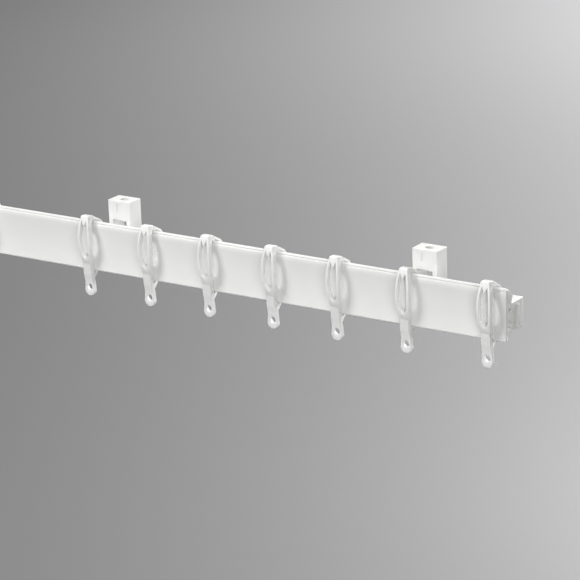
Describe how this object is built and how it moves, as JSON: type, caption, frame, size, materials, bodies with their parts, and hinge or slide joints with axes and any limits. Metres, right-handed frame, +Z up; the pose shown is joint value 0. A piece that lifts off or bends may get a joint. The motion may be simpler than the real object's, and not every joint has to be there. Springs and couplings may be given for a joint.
{
  "type": "curtain track with brackets",
  "caption": "Flat-faced white plastic curtain track that clips into screw-on ceiling brackets with cam locks, with end stops and sliding clip-on gliders whose eyes take curtain hooks.",
  "frame": {"origin": "centre of the middle bracket's screw hole, on the face that meets the ceiling", "axes": "+X along the track, +Y towards the wall behind the track, +Z up into the ceiling"},
  "size_m": [0.5628, 0.0301, 0.0596],
  "materials": {
    "track_plastic": "satin extruded white",
    "end_stop_plastic": "satin moulded white",
    "bracket_plastic": "satin moulded white",
    "glider_plastic": "glossy moulded white",
    "lever_plastic": "satin moulded white",
    "pin_steel": "bright wire"
  },
  "bodies": {
    "track": {"track_profile": "track_plastic", "end_stop_left": "end_stop_plastic", "end_stop_right": "end_stop_plastic", "bracket_left": "bracket_plastic", "bracket_middle": "bracket_plastic", "bracket_right": "bracket_plastic", "lever_pin_left": "pin_steel", "lever_pin_middle": "pin_steel", "lever_pin_right": "pin_steel"},
    "lever_left": {"lock_lever_left": "lever_plastic"},
    "lever_middle": {"lock_lever_middle": "lever_plastic"},
    "lever_right": {"lock_lever_right": "lever_plastic"},
    "glider_01": {"glider_01": "glider_plastic"},
    "glider_02": {"glider_02": "glider_plastic"},
    "glider_03": {"glider_03": "glider_plastic"},
    "glider_04": {"glider_04": "glider_plastic"},
    "glider_05": {"glider_05": "glider_plastic"},
    "glider_06": {"glider_06": "glider_plastic"},
    "glider_07": {"glider_07": "glider_plastic"},
    "glider_08": {"glider_08": "glider_plastic"},
    "glider_09": {"glider_09": "glider_plastic"},
    "glider_10": {"glider_10": "glider_plastic"},
    "glider_11": {"glider_11": "glider_plastic"},
    "glider_12": {"glider_12": "glider_plastic"}
  },
  "joints": [
    {"name": "lever_left_hinge", "type": "hinge", "parent": "track", "child": "lever_left", "pos_m": [-0.22, 0.0026, -0.04235], "axis": [1, 0, 0], "range_deg": [0, 85]},
    {"name": "lever_middle_hinge", "type": "hinge", "parent": "track", "child": "lever_middle", "pos_m": [0, 0.0026, -0.04235], "axis": [1, 0, 0], "range_deg": [0, 85]},
    {"name": "lever_right_hinge", "type": "hinge", "parent": "track", "child": "lever_right", "pos_m": [0.22, 0.0026, -0.04235], "axis": [1, 0, 0], "range_deg": [0, 85]},
    {"name": "glider_01_slide", "type": "slide", "parent": "track", "child": "glider_01", "axis": [1, 0, 0], "range_m": [0, 0.0308]},
    {"name": "glider_02_slide", "type": "slide", "parent": "track", "child": "glider_02", "axis": [1, 0, 0], "range_m": [-0.0308, 0.0335]},
    {"name": "glider_03_slide", "type": "slide", "parent": "track", "child": "glider_03", "axis": [1, 0, 0], "range_m": [-0.0335, 0.0348]},
    {"name": "glider_04_slide", "type": "slide", "parent": "track", "child": "glider_04", "axis": [1, 0, 0], "range_m": [-0.0348, 0.0348]},
    {"name": "glider_05_slide", "type": "slide", "parent": "track", "child": "glider_05", "axis": [1, 0, 0], "range_m": [-0.0348, 0.0719]},
    {"name": "glider_06_slide", "type": "slide", "parent": "track", "child": "glider_06", "axis": [1, 0, 0], "range_m": [-0.0719, 0.0367]},
    {"name": "glider_07_slide", "type": "slide", "parent": "track", "child": "glider_07", "axis": [1, 0, 0], "range_m": [-0.0367, 0.0351]},
    {"name": "glider_08_slide", "type": "slide", "parent": "track", "child": "glider_08", "axis": [1, 0, 0], "range_m": [-0.0351, 0.037]},
    {"name": "glider_09_slide", "type": "slide", "parent": "track", "child": "glider_09", "axis": [1, 0, 0], "range_m": [-0.037, 0.0359]},
    {"name": "glider_10_slide", "type": "slide", "parent": "track", "child": "glider_10", "axis": [1, 0, 0], "range_m": [-0.0359, 0.0381]},
    {"name": "glider_11_slide", "type": "slide", "parent": "track", "child": "glider_11", "axis": [1, 0, 0], "range_m": [-0.0381, 0.0442]},
    {"name": "glider_12_slide", "type": "slide", "parent": "track", "child": "glider_12", "axis": [1, 0, 0], "range_m": [-0.0442, 0]}
  ]
}
